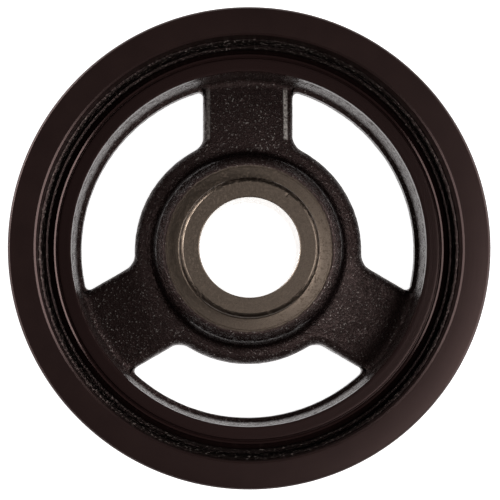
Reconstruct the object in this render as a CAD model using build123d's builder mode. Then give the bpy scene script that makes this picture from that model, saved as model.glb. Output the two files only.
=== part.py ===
from build123d import *
import os
from math import asin, degrees, hypot, radians, tan

# Harmonic balancer for a V8 truck engine: a cast hub that presses on the crankshaft snout,
# a strip of rubber round its rim, and a heavy inertia ring held on by the rubber.
# The part lies on its front face. Z runs along the crankshaft axis, from the front face of
# the inertia ring (Z = 0) up to the seal nose. One spoke points along +Y.
# Lengths are millimetres and angles are degrees.

# Inertia ring
ring_width = 50.0
ring_outer_radius = 90.4
ring_wall = 10.5
ring_outer_break = 0.8
ring_bore_break = 0.7

# Belt track on the outside of the inertia ring, for a ribbed belt of 3.56 mm pitch
groove_count = 6
groove_pitch = 3.56
groove_angle = 40.0
groove_depth = 2.9
groove_mouth = 2.66
track_front_land = 6.5

# Rubber strip
rubber_thickness = 3.9
rubber_ring_side_rise = 1.0
rubber_bulge = 1.1

# Hub rim
rim_rear_recess = 12.6
rim_front_recess = 4.0
rim_wall = 8.7
rim_wall_draft = 2.0
rim_lead_width = 2.2
rim_lead_height = 2.9
rim_front_wall = 8.0

# Nose that runs in the crankshaft seal, and its bore
bore_radius = 18.73
bore_break = 0.45
nose_proud = 1.0
nose_length = 11.5
seal_lead_width = 1.8
nose_face_round = 0.7
seal_radius = 26.4
seal_lead_height = 3.0
nose_foot_round = 0.6

# Boss between the nose and the web
shoulder_width = 6.0
boss_crown_width = 2.8
boss_edge_drop = 4.0
boss_edge_round = 0.8
boss_side_spread = 3.9
boss_foot_height = 23.0
boss_foot_round = 1.2

# Web with its three spokes and three windows
spoke_count = 3
spoke_front_width = 35.2
spoke_side_draft = 8.0
spoke_edge_round = 1.2
spoke_foot_round = 3.6
web_rim_height = 14.0
web_front_height = 6.5
web_collar_width = 5.1
window_inner_corner = 3.4
window_outer_corner = 2.4
window_front_round = 0.8
ledge_width = 1.58
ledge_wall_cut = 0.02

# Front boss and the seat of the crankshaft bolt
front_boss_height = 2.0
front_boss_wall = 9.5
front_boss_draft = 4.0
front_boss_foot_round = 2.0
bolt_seat_depth = 7.0
bolt_seat_width = 4.77
bolt_seat_break = 0.8

# Sizes that follow from the ones above
ring_bore_radius = ring_outer_radius - ring_wall
rim_outer_radius = ring_bore_radius - rubber_thickness
rim_inner_radius = rim_outer_radius - rim_wall
rim_front_wall_radius = rim_outer_radius - rim_front_wall
rim_rear_height = ring_width - rim_rear_recess
rubber_front_height = rim_front_recess + rim_lead_height
rubber_rear_height = rim_rear_height - rim_lead_height
nose_end_height = ring_width + nose_proud
nose_face_radius = seal_radius - seal_lead_width
shoulder_height = nose_end_height - nose_length
shoulder_radius = seal_radius + shoulder_width
boss_edge_radius = shoulder_radius + boss_crown_width
boss_foot_radius = boss_edge_radius + boss_side_spread
bolt_seat_height = front_boss_height + bolt_seat_depth
bolt_seat_radius = bore_radius + bolt_seat_width
front_boss_radius = bolt_seat_radius + front_boss_wall
rim_foot_radius = rim_inner_radius - (rim_rear_height - web_rim_height) * tan(radians(rim_wall_draft))
front_boss_rise = web_front_height - front_boss_height
front_boss_foot_radius = front_boss_radius + front_boss_rise * tan(radians(front_boss_draft))
window_inner_radius = boss_foot_radius + web_collar_width
window_outer_radius = rim_foot_radius - ledge_width
ledge_outer_radius = rim_foot_radius + ledge_wall_cut
window_depth = window_outer_radius - window_inner_radius
window_spacing = 360 / spoke_count
first_window_angle = 90 - window_spacing / 2


def nearest_corner(sketch, radius, height):
    """The corner of a revolved profile that lies nearest to a radius and a height."""
    return sketch.vertices().sort_by_distance((radius, height))[0]


def web_height(radius):
    """Height of the web's sloping rear face at a radius from the axis."""
    slope = (boss_foot_height - web_rim_height) / (rim_foot_radius - boss_foot_radius)
    return web_rim_height + (rim_foot_radius - radius) * slope


def corners_at(part, radius):
    """The upright edges of a window cutter whose ends both lie at a radius from the axis."""
    return part.edges().filter_by(
        lambda edge: all(abs(hypot(v.X, v.Y) - radius) < 0.01 for v in edge.vertices())
        and edge.bounding_box().size.Z > 1
    )


# Hub: the turned and cast form, made by one revolved profile
with BuildPart() as hub:
    with BuildSketch(Plane.XZ) as hub_profile:
        with BuildLine():
            Polyline(
                (bore_radius, bolt_seat_height),
                (bolt_seat_radius, bolt_seat_height),
                (bolt_seat_radius, front_boss_height),
                (front_boss_radius, front_boss_height),
                (front_boss_foot_radius, web_front_height),
                (rim_front_wall_radius, web_front_height),
                (rim_front_wall_radius, rim_front_recess),
                (rim_outer_radius - rim_lead_width, rim_front_recess),
                (rim_outer_radius, rubber_front_height),
                (rim_outer_radius, rubber_rear_height),
                (rim_outer_radius - rim_lead_width, rim_rear_height),
                (rim_inner_radius, rim_rear_height),
                (rim_foot_radius, web_rim_height),
                (boss_foot_radius, boss_foot_height),
                (boss_edge_radius, shoulder_height - boss_edge_drop),
                (shoulder_radius, shoulder_height),
                (seal_radius, shoulder_height),
                (seal_radius, nose_end_height - seal_lead_height),
                (nose_face_radius, nose_end_height),
                (bore_radius, nose_end_height),
                close=True,
            )
        make_face()
        fillet(nearest_corner(hub_profile, rim_foot_radius, web_rim_height), radius=spoke_foot_round)
        fillet(nearest_corner(hub_profile, boss_foot_radius, boss_foot_height), radius=boss_foot_round)
        fillet(
            nearest_corner(hub_profile, boss_edge_radius, shoulder_height - boss_edge_drop),
            radius=boss_edge_round,
        )
        fillet(nearest_corner(hub_profile, seal_radius, shoulder_height), radius=nose_foot_round)
        fillet(nearest_corner(hub_profile, nose_face_radius, nose_end_height), radius=nose_face_round)
        fillet(
            nearest_corner(hub_profile, front_boss_foot_radius, web_front_height),
            radius=front_boss_foot_round,
        )
        chamfer(nearest_corner(hub_profile, bore_radius, nose_end_height), length=bore_break)
        chamfer(nearest_corner(hub_profile, bore_radius, bolt_seat_height), length=bore_break)
        chamfer(nearest_corner(hub_profile, bolt_seat_radius, front_boss_height), length=bolt_seat_break)
    revolve(axis=Axis.Z)

# Window cutter: the wedge between two spokes, whose sides lean by the spoke draft
with BuildPart() as window_wedge:
    with BuildSketch(Plane.XY.offset(web_front_height)) as wedge_outline:
        half_width = spoke_front_width / 2
        reach = ring_outer_radius
        inner_angle = window_spacing / 2 - degrees(asin(half_width / window_inner_radius))
        outer_angle = window_spacing / 2 - degrees(asin(half_width / reach))
        with BuildLine():
            hub_arc = CenterArc((0, 0), window_inner_radius, -inner_angle, 2 * inner_angle)
            far_arc = CenterArc((0, 0), reach, -outer_angle, 2 * outer_angle)
            Line(hub_arc @ 0, far_arc @ 0)
            Line(hub_arc @ 1, far_arc @ 1)
        make_face()
        inner_corner = min(window_inner_corner, window_depth / 3)
        fillet(wedge_outline.vertices().group_by(Axis.X)[0], radius=inner_corner)
    extrude(amount=rim_rear_height - web_front_height, taper=-spoke_side_draft)

# Through window: the wedge out to the window's outer wall, with rounded outer corners
with BuildPart() as window_cutter:
    add(window_wedge.part)
    with BuildSketch(Plane.XY.offset(web_front_height)):
        Circle(window_outer_radius)
    extrude(amount=rim_rear_height - web_front_height, mode=Mode.INTERSECT)
    outer_corner = min(window_outer_corner, window_depth / 4)
    fillet(corners_at(window_cutter, window_outer_radius), radius=outer_corner)

# Ledge cutter: the wedge out to the rim's wall, above the level where the web meets it
with BuildPart() as ledge_cutter:
    add(window_wedge.part)
    with BuildSketch(Plane.XY.offset(web_rim_height)):
        Circle(ledge_outer_radius)
    extrude(amount=rim_rear_height - web_rim_height, mode=Mode.INTERSECT)
    fillet(corners_at(ledge_cutter, ledge_outer_radius), radius=outer_corner)

# Hub: the windows and their ledges are cut, and the edges of the casting are rounded
with hub:
    with PolarLocations(0, spoke_count, start_angle=first_window_angle):
        add(window_cutter.part, mode=Mode.SUBTRACT)
        add(ledge_cutter.part, mode=Mode.SUBTRACT)
    spoke_middle = (window_inner_radius + window_outer_radius) / 2
    rear_of_web = hub.faces().sort_by_distance((0, spoke_middle, web_height(spoke_middle)))[0]
    rear_edges = rear_of_web.edges().filter_by(GeomType.LINE, reverse=True)
    rear_window_edges = rear_edges.sort_by(SortBy.LENGTH)[:-1].group_by(Axis.Z)[1:]
    fillet([edge for group in rear_window_edges for edge in group], radius=spoke_edge_round)
    front_of_web = hub.faces().filter_by(Plane.XY).sort_by_distance((0, spoke_middle, web_front_height))[0]
    front_window_edges = [
        edge
        for wire in front_of_web.inner_wires()
        for edge in wire.edges()
        if wire.bounding_box().center().length > front_boss_radius
    ]
    fillet(front_window_edges, radius=window_front_round)
hub.part.label = "hub"

# Inertia ring: one revolved profile, with the belt's grooves turned into its outside
with BuildPart() as inertia_ring:
    with BuildSketch(Plane.XZ) as ring_profile:
        with BuildLine():
            Polyline(
                (ring_bore_radius, 0),
                (ring_outer_radius, 0),
                (ring_outer_radius, ring_width),
                (ring_bore_radius, ring_width),
                close=True,
            )
        make_face()
        chamfer(ring_profile.vertices().group_by(Axis.X)[-1], length=ring_outer_break)
        chamfer(ring_profile.vertices().group_by(Axis.X)[0], length=ring_bore_break)
    revolve(axis=Axis.Z)
    with BuildSketch(Plane.XZ):
        groove_root = groove_mouth - 2 * groove_depth * tan(radians(groove_angle / 2))
        first_groove = track_front_land + groove_mouth / 2
        for index in range(groove_count):
            middle = first_groove + index * groove_pitch
            with BuildLine():
                Polyline(
                    (ring_outer_radius, middle - groove_mouth / 2),
                    (ring_outer_radius, middle + groove_mouth / 2),
                    (ring_outer_radius - groove_depth, middle + groove_root / 2),
                    (ring_outer_radius - groove_depth, middle - groove_root / 2),
                    close=True,
                )
            make_face()
    revolve(axis=Axis.Z, mode=Mode.SUBTRACT)
inertia_ring.part.label = "inertia_ring"

# Rubber strip between the hub's rim and the ring, with ends that bulge where it is squeezed
with BuildPart() as elastomer_ring:
    with BuildSketch(Plane.XZ):
        middle_radius = (rim_outer_radius + ring_bore_radius) / 2
        rear_crest = rubber_rear_height + rubber_ring_side_rise / 2 + rubber_bulge
        front_crest = rubber_front_height - rubber_ring_side_rise / 2 - rubber_bulge
        with BuildLine():
            hub_side = Line((rim_outer_radius, rubber_front_height), (rim_outer_radius, rubber_rear_height))
            rear_end = ThreePointArc(
                hub_side @ 1,
                (middle_radius, rear_crest),
                (ring_bore_radius, rubber_rear_height + rubber_ring_side_rise),
            )
            ring_side = Line(rear_end @ 1, (ring_bore_radius, rubber_front_height - rubber_ring_side_rise))
            ThreePointArc(ring_side @ 1, (middle_radius, front_crest), hub_side @ 0)
        make_face()
    revolve(axis=Axis.Z)
elastomer_ring.part.label = "elastomer_ring"

os.makedirs("parts", exist_ok=True)
export_step(hub.part, "parts/hub.step")
export_step(inertia_ring.part, "parts/inertia_ring.step")
export_step(elastomer_ring.part, "parts/elastomer_ring.step")
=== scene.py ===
import math

import bpy
from mathutils import Matrix, Vector, noise


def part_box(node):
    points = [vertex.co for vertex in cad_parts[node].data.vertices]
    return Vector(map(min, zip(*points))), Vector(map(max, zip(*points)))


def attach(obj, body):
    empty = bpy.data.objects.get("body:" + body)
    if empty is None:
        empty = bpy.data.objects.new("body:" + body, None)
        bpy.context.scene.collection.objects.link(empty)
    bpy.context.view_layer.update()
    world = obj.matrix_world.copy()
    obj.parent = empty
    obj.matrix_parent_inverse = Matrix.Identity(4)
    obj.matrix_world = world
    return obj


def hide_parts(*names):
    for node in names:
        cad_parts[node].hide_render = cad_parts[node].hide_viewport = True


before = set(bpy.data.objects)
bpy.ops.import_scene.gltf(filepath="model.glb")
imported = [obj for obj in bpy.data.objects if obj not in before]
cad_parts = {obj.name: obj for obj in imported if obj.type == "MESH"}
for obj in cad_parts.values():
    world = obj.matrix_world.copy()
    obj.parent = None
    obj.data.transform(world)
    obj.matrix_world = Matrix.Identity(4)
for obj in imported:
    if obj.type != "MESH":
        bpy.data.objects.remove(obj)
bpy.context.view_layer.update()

bl_info = {
    "name": "Harmonic Balancer Looks",
    "version": (1, 0, 0),
    "blender": (4, 5, 0),
    "location": "3D View > Sidebar > Balancer",
    "description": "Dresses the harmonic balancer's packed CAD frame with detailed, finished pieces",
    "category": "Object",
}

MM = 0.001
RING_LOW, RING_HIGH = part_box("inertia_ring")
HUB_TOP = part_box("hub")[1].z

# Sizes of the hub in millimetres, with the draft in degrees and the web's slope as rise over run.
SPOKES = 3
SPOKE_WIDTH = 35.2
WINDOW_INNER = 44.2
WINDOW_OUTER = 64.9
WINDOW_MIDDLE = 57.0
INNER_CORNER = 3.4
OUTER_CORNER = 2.4
BORE = 18.73
NOSE = 26.4
NOSE_FACE = 24.75
NOSE_TOP = 51.0
SHOULDER_EDGE = 32.4
BOSS_EDGE = 35.0
RIM_INNER = 67.45
RIM_OUTER = 76.0
RIM_TOP = 37.4
BEAD_INNER = 72.95
RIM_FOOT = 66.48
WEB_FRONT = 6.5
WEB_RIM_HEIGHT = 14.0
WEB_SLOPE = 0.3287
FILLET = 2.0
FILLET_START = 64.03
FILLET_STEPS = 7
EDGE_ROUND = 3.2
FRONT_ROUND = 0.7
FRONT_ROUND_TOP = 7.3
WALL_DRAFT = 2.0

# Sizes of the belt track in millimetres: where the first groove starts, and its shape.
TRACK_START = 6.5
RIB_PITCH = 3.56
GROOVE_HALF_MOUTH = 1.33
GROOVE_HALF_FLOOR = 0.275
RING_BREAK = 0.8

# How many flat sides the round pieces are spun from.
TURNED_STEPS = 360
RUBBER_STEPS = 900

# How each corner of an outline is rounded: points on its arc, and the most of a side that the arc may take.
CORNER_POINTS = 4
CORNER_REACH = 0.45

# The coating, the rubber and the enamel mirror the lamps slightly warm.
WARM_GLINT = "#ffd8d2"


class RingSettings(bpy.types.PropertyGroup):
    outer_radius: bpy.props.FloatProperty(
        name="Outer Radius",
        description="Radius of the belt track's ribs",
        default=-RING_LOW.x,
        unit="LENGTH",
        subtype="DISTANCE",
    )
    width: bpy.props.FloatProperty(
        name="Width",
        description="Width of the inertia ring along the crankshaft",
        default=RING_HIGH.z - RING_LOW.z,
        unit="LENGTH",
        subtype="DISTANCE",
    )
    wall: bpy.props.FloatProperty(
        name="Wall",
        description="Thickness of the ring from its bore to the ribs",
        default=10.5 * MM,
        unit="LENGTH",
        subtype="DISTANCE",
    )
    grooves: bpy.props.IntProperty(
        name="Grooves",
        description="Number of grooves for the ribbed belt",
        default=6,
    )
    groove_depth: bpy.props.FloatProperty(
        name="Groove Depth",
        description="Depth of one belt groove",
        default=2.9 * MM,
        unit="LENGTH",
        subtype="DISTANCE",
    )


class RubberSettings(bpy.types.PropertyGroup):
    flash_height: bpy.props.FloatProperty(
        name="Flash Height",
        description="How far the moulding flash stands up from the rubber",
        default=0.9 * MM,
        unit="LENGTH",
        subtype="DISTANCE",
    )
    roughness: bpy.props.FloatProperty(
        name="Torn Edge",
        description="How uneven the squeezed rubber is",
        default=0.2 * MM,
        unit="LENGTH",
        subtype="DISTANCE",
    )


class HubSettings(bpy.types.PropertyGroup):
    cast_texture: bpy.props.FloatProperty(
        name="Cast Texture",
        description="Height of the unevenness that the sand mould leaves",
        default=0.09 * MM,
        unit="LENGTH",
        subtype="DISTANCE",
    )
    edge_raggedness: bpy.props.FloatProperty(
        name="Boss Edge",
        description="How ragged the cast edge of the boss is",
        default=0.15 * MM,
        unit="LENGTH",
        subtype="DISTANCE",
    )
    paint_edge: bpy.props.FloatProperty(
        name="Paint Edge",
        description="Radius at which the black enamel begins on the shoulder",
        default=31.6 * MM,
        unit="LENGTH",
        subtype="DISTANCE",
    )


class StageSettings(bpy.types.PropertyGroup):
    camera_height: bpy.props.FloatProperty(
        name="Camera Height",
        description="Height of the camera above the floor",
        default=0.951,
        unit="LENGTH",
        subtype="DISTANCE",
    )
    lamp_power: bpy.props.FloatProperty(
        name="Lamp Power",
        description="Power of the right lamp",
        default=11.0,
        unit="POWER",
        subtype="POWER",
    )


def deselect_all():
    """Leaves nothing selected, the CAD nodes included."""
    bpy.ops.object.select_all(action="DESELECT")


def make_active(piece):
    """Selects one piece alone and makes it active."""
    deselect_all()
    piece.select_set(True)
    bpy.context.view_layer.objects.active = piece


def rounded(corners):
    """Outline points for corners given as (radius, height, rounding), each rounding drawn as a short arc."""
    points = []
    for index, (x, z, rounding) in enumerate(corners):
        here = Vector((x, z))
        before = Vector(corners[index - 1][:2]) - here
        after = Vector(corners[(index + 1) % len(corners)][:2]) - here
        if rounding <= 0:
            points.append((x, z))
            continue
        reach = min(rounding, CORNER_REACH * before.length, CORNER_REACH * after.length)
        start = here + before.normalized() * reach
        end = here + after.normalized() * reach
        for step in range(CORNER_POINTS):
            t = step / (CORNER_POINTS - 1)
            point = start * (1 - t) ** 2 + here * 2 * t * (1 - t) + end * t ** 2
            points.append((point.x, point.y))
    return points


def turned(name, outline, steps):
    """A closed ring, spun round the crankshaft axis from (radius, height) points in millimetres."""
    deselect_all()
    bpy.ops.mesh.primitive_circle_add(vertices=len(outline), radius=MM, location=(0, 0, 0))
    piece = bpy.context.active_object
    piece.name = name
    piece.data.name = name
    for vertex, (radius, height) in zip(piece.data.vertices, outline):
        vertex.co = (radius * MM, 0, height * MM)
    bpy.ops.object.mode_set(mode="EDIT")
    bpy.ops.mesh.select_all(action="SELECT")
    bpy.ops.mesh.spin(steps=steps, angle=2 * math.pi, center=(0, 0, 0), axis=(0, 0, 1))
    bpy.ops.mesh.select_all(action="SELECT")
    bpy.ops.mesh.remove_doubles(threshold=0.002 * MM)
    bpy.ops.mesh.normals_make_consistent(inside=False)
    bpy.ops.object.mode_set(mode="OBJECT")
    return piece


def cut_away(piece, cutter):
    """Cuts one closed shape out of a piece with an applied Boolean modifier."""
    make_active(piece)
    cut = piece.modifiers.new("cut", "BOOLEAN")
    cut.operation = "DIFFERENCE"
    cut.solver = "EXACT"
    cut.object = cutter
    bpy.ops.object.modifier_apply(modifier=cut.name)
    bpy.data.objects.remove(cutter)


def finish_piece(piece, body, node, angle):
    """Smooths a piece, puts it on its body and lets it stand for its CAD node."""
    make_active(piece)
    bpy.ops.object.shade_smooth_by_angle(angle=math.radians(angle))
    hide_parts(node)
    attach(piece, body)


def linear(code):
    """A Blender colour from an sRGB hex code."""
    values = [int(code[i:i + 2], 16) / 255 for i in (1, 3, 5)]
    return tuple(v / 12.92 if v <= 0.04045 else ((v + 0.055) / 1.055) ** 2.4 for v in values) + (1.0,)


def new_material(name):
    """An empty node material and its Principled shader, joined to the output."""
    material = bpy.data.materials.new(name)
    material.use_nodes = True
    tree = material.node_tree
    tree.nodes.clear()
    output = tree.nodes.new("ShaderNodeOutputMaterial")
    shader = tree.nodes.new("ShaderNodeBsdfPrincipled")
    tree.links.new(shader.outputs["BSDF"], output.inputs["Surface"])
    return material, tree, shader


def add_node(tree, kind, inputs=(), **settings):
    """Adds a node with its settings; an input is a value, or an output of another node to link."""
    made = tree.nodes.new(kind)
    for name, value in settings.items():
        setattr(made, name, value)
    for socket, value in dict(inputs).items():
        if isinstance(value, bpy.types.NodeSocket):
            tree.links.new(value, made.inputs[socket])
        else:
            made.inputs[socket].default_value = value
    return made


def build_ring_material():
    """Turned grey iron in a thin red-black coating: a dark, even sheen with faint rings round the axis."""
    material, tree, shader = new_material("coated_turned_grey_iron")
    place = add_node(tree, "ShaderNodeTexCoord").outputs["Object"]
    flat = add_node(tree, "ShaderNodeVectorMath", {0: place, 1: (1, 1, 0)}, operation="MULTIPLY")
    radius = add_node(tree, "ShaderNodeVectorMath", {0: flat.outputs[0]}, operation="LENGTH").outputs["Value"]
    height = add_node(tree, "ShaderNodeSeparateXYZ", {0: place}).outputs["Z"]
    # Turning marks, read from radius and height alone so that they run round the axis. Real ones lie about
    # 0.2 mm apart, too fine to show, so they are drawn 0.7 mm apart.
    rings = add_node(tree, "ShaderNodeCombineXYZ", {"X": radius, "Y": height})
    marks = add_node(
        tree, "ShaderNodeTexNoise", {"Vector": rings.outputs[0], "Scale": 1 / (0.7 * MM), "Detail": 2.0}
    )
    # Thinner and thicker patches of the coating, 12 mm across, and its grain of 0.5 mm.
    clouds = add_node(tree, "ShaderNodeTexNoise", {"Vector": place, "Scale": 1 / (12 * MM), "Detail": 4.0})
    grain = add_node(tree, "ShaderNodeTexNoise", {"Vector": place, "Scale": 1 / (0.5 * MM), "Detail": 3.0})
    uneven = add_node(
        tree, "ShaderNodeMath", {0: clouds.outputs["Fac"], 1: grain.outputs["Fac"]}, operation="MULTIPLY"
    )
    tint = add_node(
        tree, "ShaderNodeMixRGB", {0: uneven.outputs[0], 1: linear("#180e0e"), 2: linear("#30221f")}
    )
    tree.links.new(tint.outputs[0], shader.inputs["Base Color"])
    shader.inputs["Roughness"].default_value = 0.31
    shader.inputs["Specular Tint"].default_value = linear(WARM_GLINT)
    relief = add_node(
        tree, "ShaderNodeMath", {0: marks.outputs["Fac"], 1: grain.outputs["Fac"]}, operation="ADD"
    )
    bump = add_node(
        tree, "ShaderNodeBump", {"Height": relief.outputs[0], "Strength": 0.25, "Distance": 0.05 * MM}
    )
    tree.links.new(bump.outputs[0], shader.inputs["Normal"])
    return material


def build_rubber_material():
    """Moulded rubber, squeezed and torn at its lips: black and rather dull, with light dust on its lumps."""
    material, tree, shader = new_material("black_moulded_rubber")
    place = add_node(tree, "ShaderNodeTexCoord").outputs["Object"]
    # Torn lumps of about 0.9 mm; the highest are dusty and lighter.
    lumps = add_node(tree, "ShaderNodeTexNoise", {"Vector": place, "Scale": 1 / (0.9 * MM), "Detail": 3.0})
    specks = add_node(
        tree,
        "ShaderNodeMapRange",
        {"Value": lumps.outputs["Fac"], "From Min": 0.58, "From Max": 0.76, "To Min": 0.0, "To Max": 1.0},
    )
    tint = add_node(
        tree, "ShaderNodeMixRGB", {0: specks.outputs[0], 1: linear("#0b0807"), 2: linear("#8a7f79")}
    )
    tree.links.new(tint.outputs[0], shader.inputs["Base Color"])
    shader.inputs["Roughness"].default_value = 0.36
    shader.inputs["Specular Tint"].default_value = linear(WARM_GLINT)
    bump = add_node(
        tree, "ShaderNodeBump", {"Height": lumps.outputs["Fac"], "Strength": 1.0, "Distance": 0.3 * MM}
    )
    tree.links.new(bump.outputs[0], shader.inputs["Normal"])
    return material


def build_hub_material(settings):
    """Sand-cast iron in pitted, glossy black enamel; its turned nose, shoulder and bore are bare metal."""
    material, tree, shader = new_material("enamelled_casting_with_turned_nose")
    place = add_node(tree, "ShaderNodeTexCoord").outputs["Object"]
    flat = add_node(tree, "ShaderNodeVectorMath", {0: place, 1: (1, 1, 0)}, operation="MULTIPLY")
    radius = add_node(tree, "ShaderNodeVectorMath", {0: flat.outputs[0]}, operation="LENGTH").outputs["Value"]
    sides = add_node(tree, "ShaderNodeSeparateXYZ", {0: place})
    height = sides.outputs["Z"]

    # The enamel's edge wanders by up to 0.3 mm, in waves about 3 mm long.
    wander_reach = 0.3 * MM
    drips = add_node(tree, "ShaderNodeTexNoise", {"Vector": place, "Scale": 1 / (3.0 * MM), "Detail": 3.0})
    wander = add_node(
        tree,
        "ShaderNodeMapRange",
        {
            "Value": drips.outputs["Fac"],
            "From Min": 0.2,
            "From Max": 0.8,
            "To Min": -wander_reach,
            "To Max": wander_reach,
        },
    )
    edge = add_node(tree, "ShaderNodeMath", {0: radius, 1: wander.outputs[0]}, operation="ADD")
    half_fade = 0.25 * MM
    bare = add_node(
        tree,
        "ShaderNodeMapRange",
        {
            "Value": edge.outputs[0],
            "From Min": settings.paint_edge - half_fade,
            "From Max": settings.paint_edge + half_fade,
            "To Min": 1.0,
            "To Max": 0.0,
        },
    )
    bore = add_node(
        tree,
        "ShaderNodeMapRange",
        {
            "Value": radius,
            "From Min": (BORE + 0.05) * MM,
            "From Max": (BORE + 0.17) * MM,
            "To Min": 1.0,
            "To Max": 0.0,
        },
    )
    # The cast skin ends just inside the turned face of the rim.
    cast = add_node(
        tree,
        "ShaderNodeMapRange",
        {
            "Value": radius,
            "From Min": (RIM_INNER - 0.25) * MM,
            "From Max": (RIM_INNER - 0.05) * MM,
            "To Min": 1.0,
            "To Max": 0.0,
        },
    )

    # Sand grains of about 0.8 mm, in patches of about 4 mm that are rougher or smoother.
    sand = add_node(
        tree,
        "ShaderNodeTexNoise",
        {"Vector": place, "Scale": 1 / (0.8 * MM), "Detail": 2.5, "Roughness": 0.6},
    )
    patches = add_node(tree, "ShaderNodeTexNoise", {"Vector": place, "Scale": 1 / (4.0 * MM), "Detail": 2.0})
    amount = add_node(
        tree,
        "ShaderNodeMapRange",
        {"Value": patches.outputs["Fac"], "From Min": 0.3, "From Max": 0.7, "To Min": 0.6, "To Max": 1.3},
    )
    # Turning marks on the bare iron and on the rim. Real ones lie about 0.2 mm apart, too fine to show, so
    # they are drawn 0.5 mm apart, with the iron's grain of 0.45 mm between them.
    rings = add_node(tree, "ShaderNodeCombineXYZ", {"X": radius, "Y": height})
    marks = add_node(
        tree, "ShaderNodeTexNoise", {"Vector": rings.outputs[0], "Scale": 1 / (0.5 * MM), "Detail": 2.0}
    )
    grain = add_node(tree, "ShaderNodeTexNoise", {"Vector": place, "Scale": 1 / (0.45 * MM), "Detail": 2.0})

    # Painted glints: the tips of the grains are painted light, in place of the lamps' highlights on them.
    tip_glints = add_node(
        tree,
        "ShaderNodeMapRange",
        {"Value": sand.outputs["Fac"], "From Min": 0.6, "From Max": 0.8, "To Min": 0.012, "To Max": 0.7},
    )
    # A painted highlight: a light line about 1.5 mm wide along the top spoke's two rounded edges stands in
    # for the lamps' reflection in them. It lies 15 mm from the spoke's middle, which lies 0.55 mm left of the
    # axis.
    across = add_node(tree, "ShaderNodeMath", {0: sides.outputs["X"], 1: 0.55 * MM}, operation="ADD")
    across = add_node(tree, "ShaderNodeMath", {0: across.outputs[0]}, operation="ABSOLUTE")
    across = add_node(tree, "ShaderNodeMath", {0: across.outputs[0], 1: 15.0 * MM}, operation="SUBTRACT")
    across = add_node(tree, "ShaderNodeMath", {0: across.outputs[0]}, operation="ABSOLUTE")
    line = add_node(
        tree,
        "ShaderNodeMapRange",
        {
            "Value": across.outputs[0],
            "From Min": 0.5 * MM,
            "From Max": 1.0 * MM,
            "To Min": 1.0,
            "To Max": 0.0,
        },
    )
    # The painted highlight lines run from 43 mm to 63 mm from the axis.
    along = add_node(
        tree,
        "ShaderNodeMapRange",
        {
            "Value": sides.outputs["Y"],
            "From Min": 42.5 * MM,
            "From Max": 43.5 * MM,
            "To Min": 0.0,
            "To Max": 1.0,
        },
    )
    ends = add_node(
        tree,
        "ShaderNodeMapRange",
        {
            "Value": sides.outputs["Y"],
            "From Min": 62.0 * MM,
            "From Max": 63.5 * MM,
            "To Min": 1.0,
            "To Max": 0.0,
        },
    )
    # The lines are broken by the sand grains, and the right edge's painted highlight is brighter than the
    # left one's, on the side of the stronger lamp.
    patchy = add_node(
        tree,
        "ShaderNodeMapRange",
        {"Value": sand.outputs["Fac"], "From Min": 0.36, "From Max": 0.58, "To Min": 0.15, "To Max": 1.0},
    )
    right_brighter = add_node(
        tree,
        "ShaderNodeMapRange",
        {"Value": sides.outputs["X"], "From Min": -1 * MM, "From Max": 1 * MM, "To Min": 0.45, "To Max": 1.0},
    )
    painted_edge_highlight = line
    for mask in (along, ends, patchy, right_brighter):
        painted_edge_highlight = add_node(
            tree, "ShaderNodeMath", {0: painted_edge_highlight.outputs[0], 1: mask.outputs[0]}, operation="MULTIPLY"
        )
    # Painted glints: round a point on the lower right spoke, 38 mm from the axis, more grain tips are painted
    # light, in place of the key lamp's highlights there.
    glint_boost_middle = (34 * MM, -18 * MM, 0)
    away = add_node(
        tree, "ShaderNodeVectorMath", {0: flat.outputs[0], 1: glint_boost_middle}, operation="DISTANCE"
    )
    glint_boost = add_node(
        tree,
        "ShaderNodeMapRange",
        {
            "Value": away.outputs["Value"],
            "From Min": 6 * MM,
            "From Max": 22 * MM,
            "To Min": 2.2,
            "To Max": 1.0,
        },
    )
    tip_glints = add_node(
        tree,
        "ShaderNodeMath",
        {0: tip_glints.outputs[0], 1: glint_boost.outputs[0]},
        operation="MULTIPLY",
        use_clamp=True,
    )
    tip_glints = add_node(tree, "ShaderNodeMath", {0: tip_glints.outputs[0], 1: painted_edge_highlight.outputs[0]}, operation="MAXIMUM")
    # Painted glints and the painted edge highlight, on the cast skin only, mixed into the enamel as light
    # grey.
    painted_glints = add_node(
        tree, "ShaderNodeMath", {0: tip_glints.outputs[0], 1: cast.outputs[0]}, operation="MULTIPLY"
    )
    paint = add_node(
        tree, "ShaderNodeMixRGB", {0: painted_glints.outputs[0], 1: linear("#231615"), 2: linear("#d9d0c9")}
    )
    # Painted shade: the hollow round the boss is painted deep black, in place of the shade that falls in it.
    inside = add_node(
        tree,
        "ShaderNodeMapRange",
        {
            "Value": radius,
            "From Min": SHOULDER_EDGE * MM,
            "From Max": BOSS_EDGE * MM,
            "To Min": 0.0,
            "To Max": 1.0,
        },
    )
    outside = add_node(
        tree,
        "ShaderNodeMapRange",
        {"Value": radius, "From Min": 37.4 * MM, "From Max": 39.4 * MM, "To Min": 1.0, "To Max": 0.0},
    )
    painted_hollow_shade = add_node(
        tree, "ShaderNodeMath", {0: inside.outputs[0], 1: outside.outputs[0]}, operation="MULTIPLY"
    )
    paint = add_node(
        tree, "ShaderNodeMixRGB", {0: painted_hollow_shade.outputs[0], 1: paint.outputs[0], 2: linear("#060303")}
    )
    iron = add_node(
        tree, "ShaderNodeMixRGB", {0: grain.outputs["Fac"], 1: linear("#63564c"), 2: linear("#918275")}
    )
    metal = add_node(
        tree, "ShaderNodeMixRGB", {0: bore.outputs[0], 1: iron.outputs[0], 2: linear("#f2eeea")}
    )
    colour = add_node(
        tree, "ShaderNodeMixRGB", {0: bare.outputs[0], 1: paint.outputs[0], 2: metal.outputs[0]}
    )
    tree.links.new(colour.outputs[0], shader.inputs["Base Color"])
    tree.links.new(bare.outputs[0], shader.inputs["Metallic"])

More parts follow.
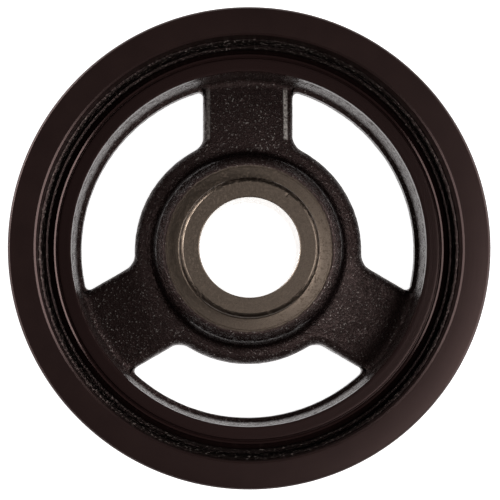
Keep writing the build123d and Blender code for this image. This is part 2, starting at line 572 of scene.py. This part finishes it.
    # Glossy enamel and duller turned iron; the bore is honed.
    gloss = add_node(
        tree,
        "ShaderNodeMapRange",
        {"Value": bare.outputs[0], "To Min": 0.27, "To Max": 0.44},
    )
    honed = add_node(
        tree, "ShaderNodeMath", {0: bore.outputs[0], 1: -0.25, 2: gloss.outputs[0]}, operation="MULTIPLY_ADD"
    )
    # The seal's track and its lead-in are ground smooth, and so is the narrow bead round the rim.
    ground = add_node(
        tree,
        "ShaderNodeMapRange",
        {
            "Value": radius,
            "From Min": (NOSE_FACE - 0.25) * MM,
            "From Max": (NOSE_FACE - 0.05) * MM,
            "To Min": 0.0,
            "To Max": -0.16,
        },
    )
    track = add_node(tree, "ShaderNodeMath", {0: radius, 1: (NOSE + 0.2) * MM}, operation="LESS_THAN")
    ground = add_node(
        tree, "ShaderNodeMath", {0: ground.outputs[0], 1: track.outputs[0]}, operation="MULTIPLY"
    )
    bead = add_node(
        tree, "ShaderNodeMath", {0: radius, 1: (BEAD_INNER + 0.15) * MM}, operation="GREATER_THAN"
    )
    bead = add_node(tree, "ShaderNodeMath", {0: bead.outputs[0], 1: -0.12}, operation="MULTIPLY")
    # Dust dulls the pits between the grains.
    pits = add_node(
        tree,
        "ShaderNodeMapRange",
        {"Value": sand.outputs["Fac"], "From Min": 0.38, "From Max": 0.46, "To Min": 0.35, "To Max": 0.0},
    )
    pits = add_node(tree, "ShaderNodeMath", {0: pits.outputs[0], 1: cast.outputs[0]}, operation="MULTIPLY")
    rough = honed
    for change in (ground, bead, pits):
        rough = add_node(tree, "ShaderNodeMath", {0: rough.outputs[0], 1: change.outputs[0]}, operation="ADD")
    tree.links.new(rough.outputs[0], shader.inputs["Roughness"])
    tint = add_node(tree, "ShaderNodeMixRGB", {0: bare.outputs[0], 1: linear(WARM_GLINT), 2: (1, 1, 1, 1)})
    tree.links.new(tint.outputs[0], shader.inputs["Specular Tint"])

    # Relief: the sand's grains under the enamel, and the turning marks elsewhere.
    rough_skin = add_node(
        tree, "ShaderNodeMath", {0: sand.outputs["Fac"], 1: amount.outputs[0]}, operation="MULTIPLY"
    )
    fine_skin = add_node(
        tree, "ShaderNodeMath", {0: marks.outputs["Fac"], 1: grain.outputs["Fac"]}, operation="ADD"
    )
    # The honed bore is far smoother than the turned faces.
    depth = add_node(tree, "ShaderNodeMapRange", {"Value": bore.outputs[0], "To Min": 0.05, "To Max": 0.004})
    fine_skin = add_node(
        tree, "ShaderNodeMath", {0: fine_skin.outputs[0], 1: depth.outputs[0]}, operation="MULTIPLY"
    )
    enamelled = add_node(
        tree, "ShaderNodeMath", {0: 1.0, 1: bare.outputs[0]}, operation="SUBTRACT"
    )
    skin = add_node(
        tree, "ShaderNodeMath", {0: cast.outputs[0], 1: enamelled.outputs[0]}, operation="MULTIPLY"
    )
    relief = add_node(
        tree,
        "ShaderNodeMix",
        {"Factor": skin.outputs[0], 2: fine_skin.outputs[0], 3: rough_skin.outputs[0]},
        data_type="FLOAT",
    )
    bump = add_node(
        tree, "ShaderNodeBump", {"Height": relief.outputs[0], "Strength": 1.0, "Distance": 0.45 * MM}
    )
    tree.links.new(bump.outputs[0], shader.inputs["Normal"])
    return material


class BALANCER_OT_ring(bpy.types.Operator):
    """Turns the inertia ring with its belt track and broken edges"""

    bl_idname = "balancer.ring"
    bl_label = "Inertia Ring"

    def execute(self, context):
        settings = context.scene.balancer_ring
        outer = settings.outer_radius / MM
        width = settings.width / MM
        bore = outer - settings.wall / MM
        root = outer - settings.groove_depth / MM
        # Each corner is (radius, height, rounding).
        corners = [
            (bore, 0.7, 0.15),
            (bore + 0.7, 0, 0.15),
            (outer - RING_BREAK, 0, 0.2),
            (outer, RING_BREAK, 0.2),
        ]
        for index in range(settings.grooves):
            middle = TRACK_START + GROOVE_HALF_MOUTH + RIB_PITCH * index
            corners += [
                (outer, middle - GROOVE_HALF_MOUTH, 0.25),
                (root, middle - GROOVE_HALF_FLOOR, 0.2),
                (root, middle + GROOVE_HALF_FLOOR, 0.2),
                (outer, middle + GROOVE_HALF_MOUTH, 0.25),
            ]
        corners += [
            (outer, width - RING_BREAK, 0.2),
            (outer - RING_BREAK, width, 0.2),
            (bore + 0.75, width, 0),
            (bore, width - 0.53, 0),
        ]
        piece = turned("ring_with_belt_track", rounded(corners), TURNED_STEPS)
        piece.data.materials.append(build_ring_material())
        finish_piece(piece, "root", "inertia_ring", 30)
        return {"FINISHED"}


class BALANCER_OT_rubber(bpy.types.Operator):
    """Moulds the rubber strip with the flash that the press fit squeezes up"""

    bl_idname = "balancer.rubber"
    bl_label = "Rubber Strip"

    def execute(self, context):
        settings = context.scene.balancer_rubber
        flash = settings.flash_height / MM
        # Each point is (radius, height).
        front_bulge = [(RIM_OUTER, 6.9), (76.7, 6.0), (77.9, 5.4), (79.2, 5.6), (79.9, 6.2)]
        outer_lip = [
            (79.9, 34.9),
            (79.88, 36.2),
            (79.8, 36.5),
            (79.6, 36.55),
            (79.4, 36.45),
            (78.75, 36.0),
            (78.3, 35.0),
        ]
        flash_line = [
            (78.05, 34.9),
            (77.9, 35.0 + flash * 0.5),
            (77.8, 34.9 + flash),
            (77.68, 35.0 + flash * 0.5),
            (77.55, 34.7),
        ]
        inner_lip = [
            (77.25, 34.7),
            (77.15, 35.5),
            (77.05, 36.1),
            (76.9, 36.2),
            (76.75, 36.15),
            (76.1, 35.7),
            (RIM_OUTER, 34.5),
        ]
        piece = turned("rubber_strip", front_bulge + outer_lip + flash_line + inner_lip, RUBBER_STEPS)
        # The squeezed rubber is torn in lumps of 1.1 mm and 0.45 mm. What lies lower or at the hub is smooth.
        free_height, free_radius = 34.6, 76.9
        for vertex in piece.data.vertices:
            radius = math.hypot(vertex.co.x, vertex.co.y) / MM
            if vertex.co.z < free_height * MM or radius < free_radius:
                continue
            lumps = noise.noise(vertex.co / (1.1 * MM)) + 0.6 * noise.noise(vertex.co / (0.45 * MM))
            vertex.co.z += settings.roughness * lumps
            # The flash wanders sideways by up to 0.25 mm, in waves of 2.5 mm.
            if 77.5 < radius < 78.1:
                shove = 1 + 0.25 * MM * noise.noise(vertex.co / (2.5 * MM)) / (radius * MM)
                vertex.co.x *= shove
                vertex.co.y *= shove
        piece.data.materials.append(build_rubber_material())
        finish_piece(piece, "root", "elastomer_ring", 40)
        return {"FINISHED"}


def fillet_centre():
    """Radius and height of the centre of the fillet between the web and the rim's wall."""
    slope = math.atan(WEB_SLOPE)
    height = WEB_RIM_HEIGHT + (RIM_FOOT - FILLET_START) * WEB_SLOPE
    return FILLET_START + FILLET * math.sin(slope), height + FILLET * math.cos(slope)


def web_height(radius):
    """Height in millimetres of the web's rear face, with the hollow fillet at the foot of the rim's wall."""
    if radius < FILLET_START:
        return WEB_RIM_HEIGHT + (RIM_FOOT - radius) * WEB_SLOPE
    centre_radius, centre_height = fillet_centre()
    # Held just short of the fillet's steep end.
    reach = min(0.98 * FILLET, radius - centre_radius)
    return centre_height - math.sqrt(FILLET ** 2 - reach ** 2)


def corner_of(a, b, rounding):
    """Joins two distances into one whose corner is rounded."""
    if a > -rounding and b > -rounding:
        return math.hypot(a + rounding, b + rounding) - rounding
    return max(a, b)


def window_distance(x, y, outer):
    """Distance from a window's edge in millimetres, below zero inside; the window's middle lies along +X."""
    half_angle = math.pi / SPOKES
    along_spoke = x * math.sin(half_angle) - abs(y) * math.cos(half_angle)
    radius = math.hypot(x, y)
    inner_corner = corner_of(SPOKE_WIDTH / 2 - along_spoke, WINDOW_INNER - radius, INNER_CORNER)
    return corner_of(inner_corner, radius - outer, OUTER_CORNER)


def window_outline(outer, count):
    """Points along a window's edge, evenly spaced, each with the direction that points out of the window."""
    rays, halvings, farthest, probe = 1440, 30, 60.0, 0.05
    found = []
    for step in range(rays):
        turn = 2 * math.pi * step / rays
        near, far = 0.0, farthest
        for _ in range(halvings):
            middle = (near + far) / 2
            x, y = WINDOW_MIDDLE + middle * math.cos(turn), middle * math.sin(turn)
            near, far = (middle, far) if window_distance(x, y, outer) < 0 else (near, middle)
        found.append(Vector((WINDOW_MIDDLE + near * math.cos(turn), near * math.sin(turn))))
    lengths = [0.0]
    for index in range(1, len(found) + 1):
        lengths.append(lengths[-1] + (found[index % len(found)] - found[index - 1]).length)
    edge, index = [], 0
    for step in range(count):
        wanted = lengths[-1] * step / count
        while lengths[index + 1] < wanted:
            index += 1
        share = (wanted - lengths[index]) / (lengths[index + 1] - lengths[index])
        point = found[index].lerp(found[(index + 1) % len(found)], share)
        x, y = point
        slope = Vector(
            (
                window_distance(x + probe, y, outer) - window_distance(x - probe, y, outer),
                window_distance(x, y + probe, outer) - window_distance(x, y - probe, outer),
            )
        )
        edge.append((point, slope.normalized()))
    return edge


def window_cutter(outer, bottom, inset, turn):
    """A closed cutter for one window, whose mouth flares so that it leaves rounded edges on the spokes."""
    columns = 300
    edge = window_outline(outer, columns)
    # Rows from the front to the rear: the front edge's rounding, the wall, the rear edge's rounding in steps
    # of 12 degrees, and one row above the rim. A cutter that starts behind the front has no front edge.
    steepest, above_rim = 84, 46.0
    levels = [("round", angle) for angle in range(0, steepest + 1, 12)] + [("high", above_rim)]
    if bottom > WEB_FRONT:
        levels = [("low", bottom)] + levels
    else:
        front = [("low", bottom), ("low", 6.6), ("low", 6.85), ("low", FRONT_ROUND_TOP)]
        levels = front + [("rise", 0.0)] + levels
    deselect_all()
    rows = len(levels) - 1
    bpy.ops.mesh.primitive_grid_add(x_subdivisions=columns, y_subdivisions=rows, size=1, location=(0, 0, 0))
    cutter = bpy.context.active_object
    cutter.name = "window_cutter"
    for index, vertex in enumerate(cutter.data.vertices):
        column, row = index % (columns + 1), index // (columns + 1)
        point, out = edge[column % columns]
        kind, value = levels[row]
        # The spokes' edges are fully rounded. The rounding fades over 1.6 mm, to none 0.2 mm from the wall.
        share = min(1.0, max(0.0, (outer - 0.2 - point.length) / 1.6))
        # How steep the place is, from the straight wall to the level top of the rounded edge.
        angle = math.radians({"round": value, "high": steepest}.get(kind, 0.0))
        flare = share * EDGE_ROUND * (1 - math.cos(angle)) - inset
        if kind == "low":
            depth = max(0.0, FRONT_ROUND_TOP - value)
            flare += FRONT_ROUND - math.sqrt(max(0.0, FRONT_ROUND ** 2 - min(depth, FRONT_ROUND) ** 2))
            height = value
        else:
            reached = point + out * flare
            top = web_height(reached.length)
            flare += share * (top - FRONT_ROUND_TOP - EDGE_ROUND) * math.tan(math.radians(WALL_DRAFT))
            height = value if kind == "high" else top - EDGE_ROUND + EDGE_ROUND * math.sin(angle)
        place = point + out * flare
        vertex.co = (place.x * MM, place.y * MM, height * MM)
    bpy.ops.object.mode_set(mode="EDIT")
    bpy.ops.mesh.select_all(action="SELECT")
    bpy.ops.mesh.remove_doubles(threshold=0.0005 * MM)
    bpy.ops.mesh.select_all(action="DESELECT")
    bpy.ops.mesh.select_mode(type="EDGE")
    bpy.ops.mesh.select_non_manifold(extend=False)
    bpy.ops.mesh.fill_holes(sides=0)
    bpy.ops.mesh.select_all(action="SELECT")
    bpy.ops.mesh.normals_make_consistent(inside=False)
    bpy.ops.mesh.select_mode(type="VERT")
    bpy.ops.transform.rotate(value=-turn, orient_axis="Z", center_override=(0, 0, 0))
    bpy.ops.object.mode_set(mode="OBJECT")
    return cutter


def fine(outline, spacing):
    """The same closed outline with its long runs divided, so that the surface can be shaped finely."""
    points = []
    for index, here in enumerate(outline):
        after = outline[(index + 1) % len(outline)]
        run = math.dist(here, after)
        wanted = spacing((here[0] + after[0]) / 2, (here[1] + after[1]) / 2)
        parts = max(1, math.ceil(run / wanted))
        points += [
            (here[0] + (after[0] - here[0]) * part / parts, here[1] + (after[1] - here[1]) * part / parts)
            for part in range(parts)
        ]
    return points


def hub_spacing(radius, height):
    """How finely the hub's outline is divided: finest at the ragged edge of the boss."""
    if 32.0 < radius < 37.0 and height > 30:
        return 0.45
    if height < 12 or radius < 32.0:
        return 2.5
    return 1.0


def hub_outline():
    """Corners of the hub's section as (radius, height, rounding), from the bore's front round to its rear."""
    foot_radius, foot_height = fillet_centre()
    front = [
        (BORE, 9.45, 0),
        (19.18, 9.0, 0),
        (23.5, 9.0, 0.3),
        (23.5, 2.8, 0),
        (24.3, 2.0, 0.2),
        (33.0, 2.0, 0.4),
        (33.31, WEB_FRONT, 1.6),
        (68.0, WEB_FRONT, 0.4),
        (68.0, 4.0, 0.3),
        (73.8, 4.0, 0.4),
    ]
    rim = [
        (RIM_OUTER, 6.9, 0),
        (RIM_OUTER, 34.5, 0.3),
        (74.2, 36.6, 0),
        (73.85, RIM_TOP, 0),
        (BEAD_INNER, 36.8, 0),
        (72.8, 36.5, 0.1),
        (72.4, 36.6, 0.1),
        (72.2, RIM_TOP, 0.1),
        (RIM_INNER, RIM_TOP, 0.2),
        (66.64, 17.0, 0),
    ]
    fillet = []
    for step in range(FILLET_STEPS):
        angle = math.radians(88 - step * 11.5)
        fillet.append((foot_radius + FILLET * math.sin(angle), foot_height - FILLET * math.cos(angle), 0))
    boss = [
        (FILLET_START, web_height(FILLET_START - 0.01), 0),
        (39.4, 22.9, 0.3),
        (38.1, 23.5, 0.5),
        (36.9, 24.8, 0.6),
        (36.1, 26.8, 0.6),
        (35.7, 29.5, 0.6),
        (35.4, 35.4, 0.5),
        (SHOULDER_EDGE, 39.22, 0.25),
    ]
    # The shoulder has one fine circle scribed 0.1 mm deep.
    shoulder = [(31.0, 39.35, 0), (30.9, 39.27, 0), (30.8, 39.37, 0), (NOSE, 39.78, 0.6)]
    nose = [
        (NOSE, 48.6, 0.5),
        (26.0, 49.95, 0),
        (NOSE_FACE, NOSE_TOP, 0),
        (19.18, NOSE_TOP, 0),
        (BORE, 50.55, 0),
    ]
    return front + rim + fillet + boss + shoulder + nose


def cut_nick(piece):
    """Cuts a short nick into the outer edge of the nose's end face, with a cutter 2.4 mm long."""
    deselect_all()
    bpy.ops.mesh.primitive_cylinder_add(
        vertices=4,
        radius=0.55 * MM,
        depth=2.4 * MM,
        location=(14.5 * MM, 19.9 * MM, NOSE_TOP * MM),
        rotation=(0, math.pi / 2, 0.58),
    )
    nick = bpy.context.active_object
    nick.scale = (0.5, 1, 1)
    bpy.ops.object.transform_apply(location=True, rotation=True, scale=True)
    cut_away(piece, nick)


def cast_share(place):
    """How much of the sand-cast skin a point of the hub has: 1 where it is cast, 0 where it is turned."""
    radius = math.hypot(place.x, place.y) / MM
    height = place.z / MM
    if radius < 32.6 or radius > 67.6 or height < 6.6:
        return 0.0
    return 1.0 if height < 36.5 else 0.4


def cast_move(place, settings):
    """How far a point of the cast skin stands out, from noise whose waves are given in millimetres."""
    radius = math.hypot(place.x, place.y) / MM
    height = place.z / MM
    # The mould's unevenness, in waves of 2.2 mm, and the boss's ragged edge, in waves of 1 mm.
    move = settings.cast_texture * noise.noise(place / (2.2 * MM))
    near_edge = max(0.0, 1 - abs(radius - BOSS_EDGE) / 1.4) * (1.0 if height > 33.0 else 0.0)
    move += near_edge * settings.edge_raggedness * noise.noise(place / (1.0 * MM))
    # The rim's wall is rougher: up to 0.35 mm, in waves of 1.5 mm.
    if 65.6 < radius < 67.3 and 15.5 < height < 36.9:
        move += 0.35 * MM * noise.noise(place / (1.5 * MM))
    # A burr 0.6 mm high on the collar's edge at the left window.
    away = math.hypot(place.x / MM + 42.3, place.y / MM - 15.6)
    return move + 0.6 * MM * max(0.0, 1 - away / 1.3)


class BALANCER_OT_hub(bpy.types.Operator):
    """Turns the hub, cuts its windows with rounded edges and gives it its cast skin and ragged boss edge"""

    bl_idname = "balancer.hub"
    bl_label = "Hub"

    def execute(self, context):
        settings = context.scene.balancer_hub
        piece = turned("enamelled_hub", fine(rounded(hub_outline()), hub_spacing), TURNED_STEPS)
        first = math.pi / 2 - math.pi / SPOKES
        above = Vector((0, 0, HUB_TOP + 10 * MM))
        for index in range(SPOKES):
            turn = first + 2 * math.pi * index / SPOKES
            # The through window, then the ledge above it, whose sides stay 0.03 mm inside the window's.
            cut_away(piece, window_cutter(WINDOW_OUTER, 0.0, 0.0, turn))
            cut_away(piece, window_cutter(RIM_FOOT + 0.02, WEB_RIM_HEIGHT, 0.03, turn))
            way = Vector((math.cos(turn), math.sin(turn), 0.0))
            if piece.ray_cast(way * WINDOW_MIDDLE * MM + above, Vector((0, 0, -1)))[0]:
                raise RuntimeError(f"window {index} of the hub isn't open")
        cut_nick(piece)
        make_active(piece)
        vertices = piece.data.vertices
        directions = [vertex.normal.copy() for vertex in vertices]
        for vertex, direction in zip(vertices, directions):
            share = cast_share(vertex.co)
            if share:
                vertex.co += direction * cast_move(vertex.co, settings) * share
        piece.data.materials.append(build_hub_material(settings))
        finish_piece(piece, "root", "hub", 35)
        return {"FINISHED"}


def build_floor_material():
    """White studio paper: plain white to the camera and in reflections, with the object's soft shadow."""
    material = bpy.data.materials.new("white_studio_paper")
    material.use_nodes = True
    tree = material.node_tree
    tree.nodes.clear()
    path = add_node(tree, "ShaderNodeLightPath")
    seen = add_node(
        tree,
        "ShaderNodeMath",
        {0: path.outputs["Is Camera Ray"], 1: path.outputs["Is Glossy Ray"]},
        operation="ADD",
    )
    seen = add_node(
        tree,
        "ShaderNodeMath",
        {0: seen.outputs[0], 1: path.outputs["Is Transmission Ray"]},
        operation="ADD",
        use_clamp=True,
    )
    paper = add_node(tree, "ShaderNodeBsdfDiffuse", {"Color": linear("#e6e6e6")})
    glow = add_node(tree, "ShaderNodeEmission", {"Color": (1, 1, 1, 1), "Strength": seen.outputs[0]})
    both = add_node(tree, "ShaderNodeAddShader", {0: paper.outputs[0], 1: glow.outputs[0]})
    output = tree.nodes.new("ShaderNodeOutputMaterial")
    tree.links.new(both.outputs[0], output.inputs["Surface"])
    return material


def build_world():
    """Plain soft light all round, white to the camera, and darker overhead in reflections."""
    world = bpy.data.worlds.new("studio")
    bpy.context.scene.world = world
    world.use_nodes = True
    tree = world.node_tree
    tree.nodes.clear()
    path = add_node(tree, "ShaderNodeLightPath")
    direction = add_node(tree, "ShaderNodeTexCoord").outputs["Generated"]
    up = add_node(tree, "ShaderNodeSeparateXYZ", {0: direction}).outputs["Z"]
    overhead = add_node(
        tree,
        "ShaderNodeMapRange",
        {"Value": up, "From Min": 0.0, "From Max": 0.6, "To Min": 0.1, "To Max": 0.04},
    )
    mirrored = add_node(
        tree,
        "ShaderNodeMath",
        {0: path.outputs["Is Glossy Ray"], 1: overhead.outputs[0]},
        operation="MULTIPLY",
    )
    plain = add_node(
        tree, "ShaderNodeMath", {0: path.outputs["Is Diffuse Ray"], 1: 0.12}, operation="MULTIPLY"
    )
    white = add_node(
        tree,
        "ShaderNodeMath",
        {0: path.outputs["Is Camera Ray"], 1: path.outputs["Is Transmission Ray"]},
        operation="ADD",
    )
    total = mirrored
    for light in (plain, white):
        total = add_node(tree, "ShaderNodeMath", {0: total.outputs[0], 1: light.outputs[0]}, operation="ADD")
    background = add_node(tree, "ShaderNodeBackground", {"Color": (1, 1, 1, 1), "Strength": total.outputs[0]})
    output = tree.nodes.new("ShaderNodeOutputWorld")
    tree.links.new(background.outputs[0], output.inputs["Surface"])


def add_lamps(power):
    """Softboxes at the left and right, an edge lamp at the upper left and a small key lamp at lower right."""
    # Each row is the name, the place and the size in metres, and the share of the power.
    for name, place, width, height, share in (
        ("lamp_left", (-0.98, 0.0, 0.44), 1.1, 0.6, 0.6),
        ("lamp_right", (0.98, 0.0, 0.44), 1.1, 0.6, 1.0),
        ("lamp_edge", (-0.92, 0.5, 0.2), 0.9, 0.2, 0.5),
        ("lamp_key", (0.5, -0.22, 1.08), 0.42, 0.42, 0.235),
    ):
        bpy.ops.object.light_add(type="AREA", location=place)
        lamp = bpy.context.active_object
        lamp.name = name
        lamp.data.shape = "RECTANGLE"
        lamp.data.size = width
        lamp.data.size_y = height
        lamp.data.energy = power * share
        lamp.rotation_euler = Vector(place).to_track_quat("Z", "Y").to_euler()


def add_camera(height):
    """A long lens nearly straight above the rear face, a little off its middle."""
    aim = Vector((0.00015, -0.00097, 0.05))
    bpy.ops.object.camera_add(location=(-0.0155, -0.0324, height))
    camera = bpy.context.active_object
    camera.name = "camera"
    back = (camera.location - aim).normalized()
    right = Vector((0, 1, 0)).cross(back).normalized()
    camera.rotation_euler = Matrix((right, back.cross(right), back)).transposed().to_euler()
    camera.data.lens = 173.7
    camera.data.sensor_width = 36
    bpy.context.scene.camera = camera


class BALANCER_OT_stage(bpy.types.Operator):
    """Sets the white floor, the soft lamps, the camera and the plain view settings"""

    bl_idname = "balancer.stage"
    bl_label = "Stage"

    def execute(self, context):
        settings = context.scene.balancer_stage
        deselect_all()
        bpy.ops.mesh.primitive_plane_add(size=6, location=(0, 0, -0.1 * MM))
        floor = context.active_object
        floor.name = "floor"
        floor.data.materials.append(build_floor_material())
        build_world()
        add_lamps(settings.lamp_power)
        add_camera(settings.camera_height)
        context.scene.view_settings.view_transform = "Standard"
        return {"FINISHED"}


class BALANCER_PT_panel(bpy.types.Panel):
    """The balancer's pieces and their sizes"""

    bl_idname = "BALANCER_PT_panel"
    bl_label = "Harmonic Balancer"
    bl_space_type = "VIEW_3D"
    bl_region_type = "UI"
    bl_category = "Balancer"

    def draw(self, context):
        for group, operator in (
            ("balancer_stage", "balancer.stage"),
            ("balancer_ring", "balancer.ring"),
            ("balancer_rubber", "balancer.rubber"),
            ("balancer_hub", "balancer.hub"),
        ):
            box = self.layout.box()
            settings = getattr(context.scene, group)
            for name in settings.__annotations__:
                box.prop(settings, name)
            box.operator(operator)


SETTINGS = (
    ("balancer_ring", RingSettings),
    ("balancer_rubber", RubberSettings),
    ("balancer_hub", HubSettings),
    ("balancer_stage", StageSettings),
)
CLASSES = (BALANCER_OT_ring, BALANCER_OT_rubber, BALANCER_OT_hub, BALANCER_OT_stage, BALANCER_PT_panel)


def register():
    for name, group in SETTINGS:
        bpy.utils.register_class(group)
        setattr(bpy.types.Scene, name, bpy.props.PointerProperty(type=group))
    for made in CLASSES:
        bpy.utils.register_class(made)


def unregister():
    for made in reversed(CLASSES):
        bpy.utils.unregister_class(made)
    for name, group in reversed(SETTINGS):
        delattr(bpy.types.Scene, name)
        bpy.utils.unregister_class(group)


def main():
    register()
    bpy.ops.balancer.stage()
    bpy.ops.balancer.ring()
    bpy.ops.balancer.rubber()
    bpy.ops.balancer.hub()


if __name__ == "__main__":
    main()
